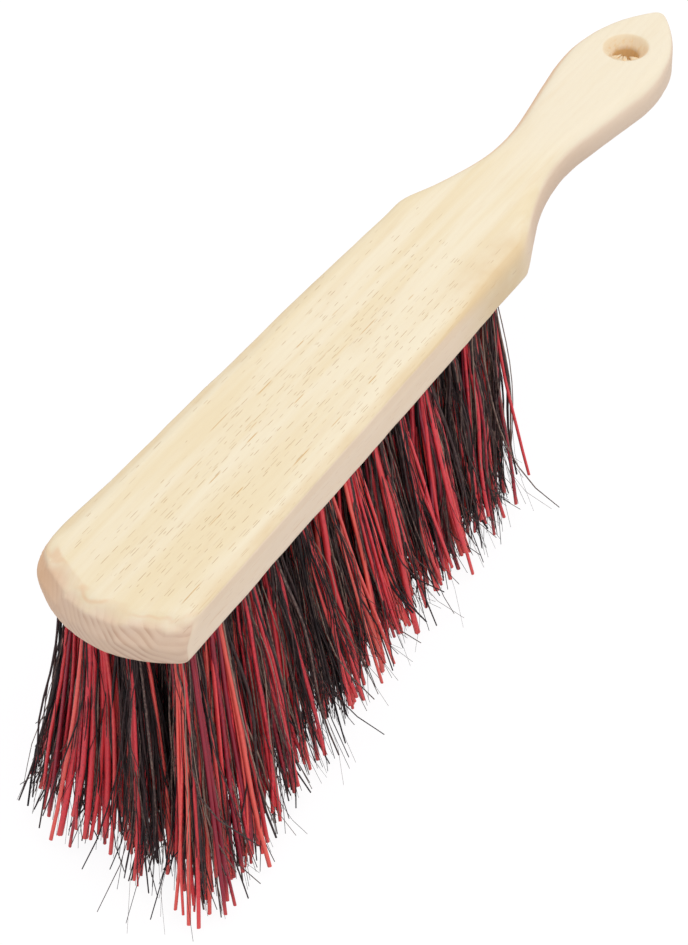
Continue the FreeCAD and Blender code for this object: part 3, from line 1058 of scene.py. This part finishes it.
class BeechNodes(Nodes):
    """The nodes of the beech finish, with places in millimetres. Each step tints the wood so far."""

    def __init__(self, tree, settings):
        super().__init__(tree)
        self.settings = settings
        self.place = self.millimetres()
        self.x, self.y, self.z = self.parts(self.place)
        self.normal = self.parts(self.add("ShaderNodeNewGeometry").outputs["Normal"])
        self.forward = self.times(self.normal[0], -1.0)
        self.patches = self.noise(self.place, PATCHES)
        uneven = self.ramp(self.noise(self.place, UNEVEN_DEPTH), *DEPTH_BAND)
        self.depth = self.plus(self.minus(TOP_MM, self.z), uneven)
        self.at_nose = self.ramp(self.x, NOSE_END)
        face = self.ramp(self.depth, NOSE_FACE_DEPTH)
        self.nose_face = self.times(face, self.ramp(self.forward, NOSE_FACE_TURN), self.at_nose)
        self.side_face = self.ramp(self.math("ABSOLUTE", self.normal[2]), SIDE_TURN)
        self.fine = self.noise(self.place, FINE_FIBRE)
        self.wood = None

    def tint(self, colour_name, *strengths):
        """Mixes one of the settings' colours into the wood, by the product of some strengths."""
        self.wood = self.mix(self.times(*strengths), self.wood, getattr(self.settings, colour_name))

    def pale_wood(self):
        """Pale wood with soft streaks and tan patches along the grain, whiter in the handle."""
        streaks = self.ramp(self.noise(self.place, STREAKS), STREAK_BAND)
        self.wood = self.mix(streaks, self.settings.pale, self.settings.deep)
        self.tint("handle", self.ramp(self.x, *HANDLE_START))
        self.tint("tan_and_edge_shade", self.ramp(self.noise(self.place, TAN_STREAKS), *TAN_BAND))

    def growth_rings(self):
        """Growth rings about a pith beyond the board, plain to see on the end grain only."""
        end_face = self.ramp(self.math("ABSOLUTE", self.normal[0]), END_TURN)
        end_face = self.math("MAXIMUM", self.nose_face, end_face)
        from_pith = self.xyz(0.0, self.minus(self.y, PITH_Y), self.minus(self.z, PITH_Z))
        warp = self.times(self.noise(self.place, RING_WARP), WARP)
        from_pith = self.plus(self.vector("LENGTH", from_pith), warp)
        ring = self.math("FRACT", self.math("DIVIDE", from_pith, self.settings.ring_width / MM))
        late_wood = self.times(self.ramp(ring, LATE_WOOD_START), self.ramp(ring, LATE_WOOD_END))
        self.tint("end_grain", end_face, END_GRAIN_STRENGTH)
        on_end = self.times(self.math("POWER", end_face, RING_POWER), self.ramp(self.patches, *RING_PATCHES))
        on_end = self.times(on_end, self.ramp(self.y, *RINGS_RIGHT))
        self.tint("ring", late_wood, self.plus(on_end, RINGS_ELSEWHERE))

    def dashes(self, across, rows, plenty, cell, half, chance):
        """One dash in some of the cells of a stretched pattern, and the glow round it."""
        half_length, half_width = half
        place = self.vector("DIVIDE", self.xyz(self.x, across), cell)
        cells = self.add("ShaderNodeTexVoronoi", {"voronoi_dimensions": "2D"}, vector=place, scale=1.0)
        pick, weight, size = self.parts(cells.outputs["Color"])
        chosen = self.math("LESS_THAN", pick, self.times(self.ramp(rows, *chance), plenty))
        off = self.vector("MULTIPLY", self.vector("SUBTRACT", place, cells.outputs["Position"]), cell)
        off_along, off_across = self.parts(self.vector("ABSOLUTE", off))[:2]
        half_lengths = [length_share * half_length for length_share in FLECK_LENGTH_SHARES]
        along_it = self.math("DIVIDE", off_along, self.ramp(size, (0.0, 1.0), half_lengths))
        across_it = self.math("DIVIDE", off_across, half_width)
        drawn = self.times(chosen, self.ramp(weight, (0.0, 1.0), FLECK_TONES))
        masks = []
        for length_band, width_band in (DASH_SHARES, GLOW_SHARES):
            mask = self.times(self.ramp(along_it, length_band), self.ramp(across_it, width_band))
            masks.append(self.times(mask, drawn))
        return masks

    def flecks(self):
        """Short and long flecks in rows along the grain. The return value is where they are."""
        across = self.plus(self.y, self.times(self.z, SLANT))
        rows = self.noise(self.xyz(self.x, across), FLECK_ROWS)
        plenty = self.times(self.ramp(self.x, FLECKS_END), self.ramp(self.y, *FLECKS_RIGHT))
        plenty = self.times(plenty, self.ramp(self.x, FLECKS_START))
        short, short_glow = self.dashes(across, rows, plenty, **SHORT_FLECKS)
        long, long_glow = self.dashes(across, rows, plenty, **LONG_FLECKS)
        glow = self.math("MAXIMUM", self.times(short_glow, SHORT_GLOW), self.times(long_glow, LONG_GLOW))
        self.tint("glow", glow)
        self.tint("streak", long, LONG_STRENGTH)
        self.tint("fleck", short, SHORT_STRENGTH)
        return self.math("MAXIMUM", short, long)

    def block_shade_and_sides(self):
        """Painted shade on the block's worn edges, its right shoulder, the nose's left and the line atop the
        nose, and the tint of its sawn sides.
        """
        # Painted shade: the slope of the worn band along the upper edges is tinted tan, in patches
        edge = self.add("ShaderNodeAttribute", {"attribute_name": "edge"}).outputs["Fac"]
        self.tint("tan_and_edge_shade", self.ramp(edge, EDGE_SHADE_SHARES), self.ramp(self.patches, *EDGE_SHADE_PATCHES))
        # Painted shade of the sloping right shoulder, in patches
        at_shoulder = self.times(self.ramp(self.x, SHOULDER_START), self.ramp(self.x, SHOULDER_END))
        at_shoulder = self.times(at_shoulder, self.ramp(self.y, *SHOULDER_RIGHT))
        self.tint("shoulder", at_shoulder, self.ramp(self.patches, *SHOULDER_PATCHES))
        plain_side = self.times(self.side_face, self.minus(1.0, self.nose_face))
        self.tint("side", plain_side, self.minus(SIDE_STRENGTH, at_shoulder))
        # Painted shade on the left of the nose
        self.tint("corner", self.nose_face, self.ramp(self.y, *CORNER_LEFT))
        # Painted shade along the line where the nose's round-over meets the top
        off_line = self.math("ABSOLUTE", self.minus(self.depth, NOSE_LINE_DEPTH))
        nose_line = self.times(self.ramp(off_line, NOSE_LINE_WIDTH), self.ramp(self.forward, NOSE_LINE_TURN))
        self.tint("corner", nose_line, self.at_nose, self.ramp(self.patches, *LINE_PATCHES))

    def handle_shade(self):
        """Painted shade on the rounding of the block's rear, along the handle's sides and on the neck's left
        rounding.
        """
        up = self.normal[2]
        # Painted shade on the rounding of the block's rear right edge, found by how far it tilts
        rounding = self.times(self.ramp(up, ROUNDING_TOP), self.ramp(up, ROUNDING_FOOT))
        at_rear = self.times(self.ramp(self.x, ROUNDING_START), self.ramp(self.x, ROUNDING_END))
        self.tint("shoulder", rounding, at_rear, self.ramp(self.y, *ROUNDING_RIGHT))
        at_neck = self.ramp(self.x, NECK_START)
        # Painted shade on the handle's sides, weaker towards its end
        self.tint("handle_side_shade", self.side_face, at_neck, self.ramp(self.x, *HANDLE_SHADE_FADE))
        # Painted shade on the neck's left rounding
        left = self.ramp(self.normal[1], *LEFT_TURN)
        self.tint("corner", at_neck, left, self.ramp(up, LEFT_RISE))

    def bore_wood(self):
        """The hanging bore's rim, its torn spots, and its wall, tinted as painted light where it lies in
        shade.
        """
        axis = (BORE_CENTRE.x / MM, BORE_CENTRE.y / MM, 0.0)
        off_axis = self.vector("LENGTH", self.vector("SUBTRACT", self.xyz(self.x, self.y), axis))
        radii = self.math("DIVIDE", off_axis, BORE_RADIUS / MM)
        self.tint("rim", self.ramp(radii, *RIM_SHARES))
        spots = self.ramp(self.noise(self.place, TORN_SPOTS), TORN_BAND)
        self.tint("bore", self.ramp(radii, *TORN_SHARES), spots)
        # Painted light: the wall below the rim lies in shade and is given a light tan
        rim_foot = (TOP - self.settings.rim_depth) / MM
        below_rim = self.ramp(self.z, (rim_foot, rim_foot - WALL_FADE))
        self.tint("bore", below_rim, self.ramp(radii, *WALL_SHARES))


def new_material(name):
    """A new material and its principled shader."""
    material = bpy.data.materials.new(name)
    material.use_nodes = True
    return material, material.node_tree.nodes["Principled BSDF"]


def beech(settings):
    """Beech: pale streaked wood, growth rings on its end grain, flecks along the grain, painted shade on its
    worn edges, shoulder, nose and handle sides, and painted light in the hanging bore.
    """
    material, shader = new_material("beech")
    nodes = BeechNodes(material.node_tree, settings)
    nodes.pale_wood()
    nodes.growth_rings()
    flecks = nodes.flecks()
    nodes.block_shade_and_sides()
    nodes.handle_shade()
    nodes.bore_wood()
    wood = nodes.mix(nodes.ramp(nodes.fine, *FINE_BAND), nodes.wood, settings.deep, "MULTIPLY")
    height = nodes.times(nodes.minus(nodes.fine, flecks), FINE_HEIGHT)
    bump = nodes.add("ShaderNodeBump", strength=BUMP_STRENGTH, distance=BUMP_DEPTH, height=height)
    nodes.feed(shader.inputs["Base Color"], wood)
    nodes.feed(shader.inputs["Roughness"], nodes.ramp(nodes.fine, GLOSS_BAND, BEECH_ROUGHNESS))
    nodes.feed(shader.inputs["Normal"], bump.outputs["Normal"])
    shader.inputs["Specular IOR Level"].default_value = BEECH_GLOSS
    return material


def fibre_shade_group():
    """Colour along a fibre: a random tone from painted shade through its body colour to painted highlight,
    partly its own hue, fine streaks along it, and another colour at its end.
    """
    group = bpy.data.node_groups.new("fibre_shade", "ShaderNodeTree")
    for name in ("Shaded", "Body", "Bright", "Tip"):
        add_socket(group, name, "NodeSocketColor")
    add_socket(group, "Depth", "NodeSocketFloat")
    add_socket(group, "Tip Start", "NodeSocketFloat")
    add_socket(group, "Color", "NodeSocketColor", "OUTPUT")
    add_socket(group, "Streak", "NodeSocketFloat", "OUTPUT")
    nodes = Nodes(group)
    given = nodes.add("NodeGroupInput").outputs
    tone = nodes.add("ShaderNodeAttribute", {"attribute_name": "tone"}).outputs["Fac"]
    along = nodes.add("ShaderNodeAttribute", {"attribute_name": "along"}).outputs["Fac"]
    streak = nodes.noise(nodes.millimetres(), FIBRE_STREAKS)
    streaked = nodes.ramp(streak, *TONE_BAND)
    lift = nodes.plus(nodes.math("POWER", tone, given["Depth"]), streaked)
    shade = nodes.mix(nodes.ramp(lift, BODY_TONES), given["Shaded"], given["Body"])
    shade = nodes.mix(nodes.ramp(lift, BRIGHT_TONES), shade, given["Bright"])
    at_tip = nodes.ramp(along, (given["Tip Start"], 1.0))
    shade = nodes.mix(nodes.times(at_tip, TIP_STRENGTH), shade, given["Tip"])
    nodes.add("NodeGroupOutput", color=shade, streak=streak)
    return group


def fibre_finish(name, group, settings, depth, tip_start, roughness, specular):
    """A fibre material, with its colours from the shared shading group."""
    material, shader = new_material(name)
    nodes = Nodes(material.node_tree)
    shade = nodes.add("ShaderNodeGroup", {"node_tree": group})
    for key in ("shaded", "body", "bright", "tip"):
        nodes.feed(nodes.pick(shade.inputs, key), opaque(getattr(settings, key)))
    shade.inputs["Depth"].default_value = depth
    shade.inputs["Tip Start"].default_value = tip_start
    nodes.feed(shader.inputs["Base Color"], shade.outputs["Color"])
    nodes.feed(shader.inputs["Roughness"], nodes.ramp(shade.outputs["Streak"], GLOSS_BAND, roughness))
    shader.inputs["Specular IOR Level"].default_value = specular
    return material


def drawn_wire():
    """Bright drawn wire with faint lines along it."""
    material, shader = new_material("wire")
    nodes = Nodes(material.node_tree)
    lines = nodes.noise(nodes.millimetres(), WIRE_LINES)
    nodes.feed(shader.inputs["Base Color"], nodes.mix(lines, *WIRE_GREYS))
    nodes.feed(shader.inputs["Roughness"], nodes.ramp(lines, GLOSS_BAND, WIRE_ROUGHNESS))
    shader.inputs["Metallic"].default_value = 1.0
    return material


# Stage

# The floor's two paints and its grain, and the white and strength with which it is seen
FLOOR_PAINTS = ((0.80, 0.79, 0.80), (0.82, 0.81, 0.82))
FLOOR_GRAIN = 40.0
FLOOR_WHITE = (1.0, 0.995, 1.0, 1.0)
FLOOR_GLOW = 1.085

# Colours of the light from all around, of the sky as it is seen and of the lamp
SKY_LIGHT = (0.98, 0.98, 1.0, 1.0)
SKY_WHITE = (1.0, 1.0, 1.0, 1.0)
LAMP_COLOUR = (1.0, 0.985, 0.955)

# The camera's sensor, in millimetres, and the nearest that it sees, in metres
SENSOR_WIDTH = 36.0
NEAREST = 0.01


def mixed_shaders(nodes, factor, first, second):
    """Two shaders mixed."""
    mixed = nodes.add("ShaderNodeMixShader", fac=factor)
    nodes.feed(mixed.inputs[1], first)
    nodes.feed(mixed.inputs[2], second)
    return mixed.outputs[0]


def shown_white(nodes, plain, shown):
    """A shader for the light, and another for what the camera, gloss and glass see."""
    path = nodes.add("ShaderNodeLightPath").outputs
    looked_at = nodes.math("MAXIMUM", path["Is Camera Ray"], path["Is Glossy Ray"])
    looked_at = nodes.math("MAXIMUM", looked_at, path["Is Transmission Ray"])
    return mixed_shaders(nodes, looked_at, plain, shown)


def floor_finish(settings):
    """A pale floor that looks white, with a faint shadow, and is see-through from below."""
    material = bpy.data.materials.new("pale_floor")
    material.use_nodes = True
    material.node_tree.nodes.clear()
    nodes = Nodes(material.node_tree)
    grain = nodes.first("ShaderNodeTexNoise", scale=FLOOR_GRAIN, detail=2.0)
    matt = nodes.first("ShaderNodeBsdfDiffuse", color=nodes.mix(grain, *FLOOR_PAINTS))
    glow = nodes.first("ShaderNodeEmission", color=FLOOR_WHITE, strength=FLOOR_GLOW)
    seen_floor = mixed_shaders(nodes, settings.shadow, glow, matt)
    from_above = shown_white(nodes, matt, seen_floor)
    below = nodes.add("ShaderNodeNewGeometry").outputs["Backfacing"]
    one_sided = mixed_shaders(nodes, below, from_above, nodes.first("ShaderNodeBsdfTransparent"))
    nodes.add("ShaderNodeOutputMaterial", surface=one_sided)
    return material


def set_floor(settings):
    """The floor that the tips stand on."""
    half = settings.floor_size / 2
    corners = [(-half, -half, 0.0), (half, -half, 0.0), (half, half, 0.0), (-half, half, 0.0)]
    mesh = bpy.data.meshes.new("floor")
    mesh.from_pydata(corners, [], [(0, 1, 2, 3)])
    mesh.materials.append(floor_finish(settings))
    linked("floor", mesh)


def set_sky(settings):
    """Even light from all around, white where it is seen."""
    world = bpy.data.worlds.new("studio")
    world.use_nodes = True
    world.node_tree.nodes.clear()
    nodes = Nodes(world.node_tree)
    light = nodes.first("ShaderNodeBackground", color=SKY_LIGHT, strength=settings.sky_strength)
    white = nodes.first("ShaderNodeBackground", color=SKY_WHITE, strength=1.0)
    nodes.add("ShaderNodeOutputWorld", surface=shown_white(nodes, light, white))
    bpy.context.scene.world = world


def set_lamp(settings):
    """One large soft lamp overhead."""
    lamp = bpy.data.lights.new("key", "AREA")
    lamp.energy = settings.key_power
    lamp.size = settings.key_size
    lamp.color = LAMP_COLOUR
    key = linked("key", lamp)
    key.location = settings.key_place
    key.rotation_euler = (-Vector(settings.key_place)).to_track_quat("-Z", "Y").to_euler()


def set_camera(settings):
    """The camera at the photograph's viewing angle."""
    camera = bpy.data.cameras.new("camera")
    camera.lens = settings.camera_lens
    camera.sensor_width = SENSOR_WIDTH
    camera.clip_start = NEAREST
    view = linked("camera", camera)
    view.location = settings.camera_place
    view.rotation_euler = settings.camera_turn
    bpy.context.scene.camera = view


# Operators and panel

class BROOM_OT_stock(bpy.types.Operator):
    """Make the beech stock with its hanging bore"""

    bl_idname = "broom.stock"
    bl_label = "Stock"

    def execute(self, context):
        settings = context.scene.broom_stock
        dressed_stock(settings, beech(settings))
        return {"FINISHED"}


class BROOM_OT_anchors(bpy.types.Operator):
    """Give the wire anchors in the bores their finish"""

    bl_idname = "broom.anchors"
    bl_label = "Anchors"

    def execute(self, context):
        anchors = frame["nodes"]["anchors"]
        anchors.data.materials.clear()
        anchors.data.materials.append(drawn_wire())
        return {"FINISHED"}


class BROOM_OT_fibres(bpy.types.Operator):
    """Grow the red and the dark fibres of all tufts"""

    bl_idname = "broom.fibres"
    bl_label = "Fibres"

    def execute(self, context):
        tree = fibre_tree()
        group = fibre_shade_group()
        red, dark = context.scene.broom_red, context.scene.broom_dark
        glossy = dict(depth=1.0, tip_start=0.93, roughness=(0.3, 0.5), specular=0.5)
        dull = dict(depth=1.1, tip_start=0.7, roughness=(0.5, 0.75), specular=0.2)
        for kind, settings, look in (("red_fibre", red, glossy), ("dark_fibre", dark, dull)):
            material = fibre_finish(kind, group, settings, **look)
            for row in range(1, ROWS + 1):
                grow_row(tree, kind, row, context.scene.broom_tufts, settings, material)
        return {"FINISHED"}


class BROOM_OT_stage(bpy.types.Operator):
    """Set the floor, the light and the camera"""

    bl_idname = "broom.stage"
    bl_label = "Stage"

    def execute(self, context):
        settings = context.scene.broom_stage
        set_floor(settings)
        set_sky(settings)
        set_lamp(settings)
        set_camera(settings)
        context.scene.view_settings.view_transform = "Standard"
        return {"FINISHED"}


OPERATORS = (BROOM_OT_stock, BROOM_OT_anchors, BROOM_OT_fibres, BROOM_OT_stage)
SETTINGS = {
    "broom_stock": BroomStockSettings,
    "broom_tufts": BroomTuftSettings,
    "broom_red": BroomRedSettings,
    "broom_dark": BroomDarkSettings,
    "broom_stage": BroomStageSettings,
}


class BROOM_PT_panel(bpy.types.Panel):
    """Lists the broom's steps and what can be set"""

    bl_idname = "BROOM_PT_panel"
    bl_label = "Hand Broom"
    bl_space_type = "VIEW_3D"
    bl_region_type = "UI"
    bl_category = "Broom"

    def draw(self, context):
        for operator in OPERATORS:
            self.layout.operator(operator.bl_idname)
        for name, settings_class in SETTINGS.items():
            box = self.layout.box()
            box.label(text=settings_class.__doc__)
            for field in settings_class.__annotations__:
                box.prop(getattr(context.scene, name), field)


def register():
    for settings_class in SETTINGS.values():
        bpy.utils.register_class(settings_class)
    for name, settings_class in SETTINGS.items():
        setattr(bpy.types.Scene, name, PointerProperty(type=settings_class))
    for cls in (*OPERATORS, BROOM_PT_panel):
        bpy.utils.register_class(cls)


def unregister():
    for cls in (BROOM_PT_panel, *reversed(OPERATORS)):
        bpy.utils.unregister_class(cls)
    for name, settings_class in SETTINGS.items():
        delattr(bpy.types.Scene, name)
        bpy.utils.unregister_class(settings_class)


def main():
    """Registers the add-on and makes every piece in order."""
    register()
    bpy.ops.broom.stock()
    bpy.ops.broom.anchors()
    bpy.ops.broom.fibres()
    bpy.ops.broom.stage()


if __name__ == "__main__":
    main()
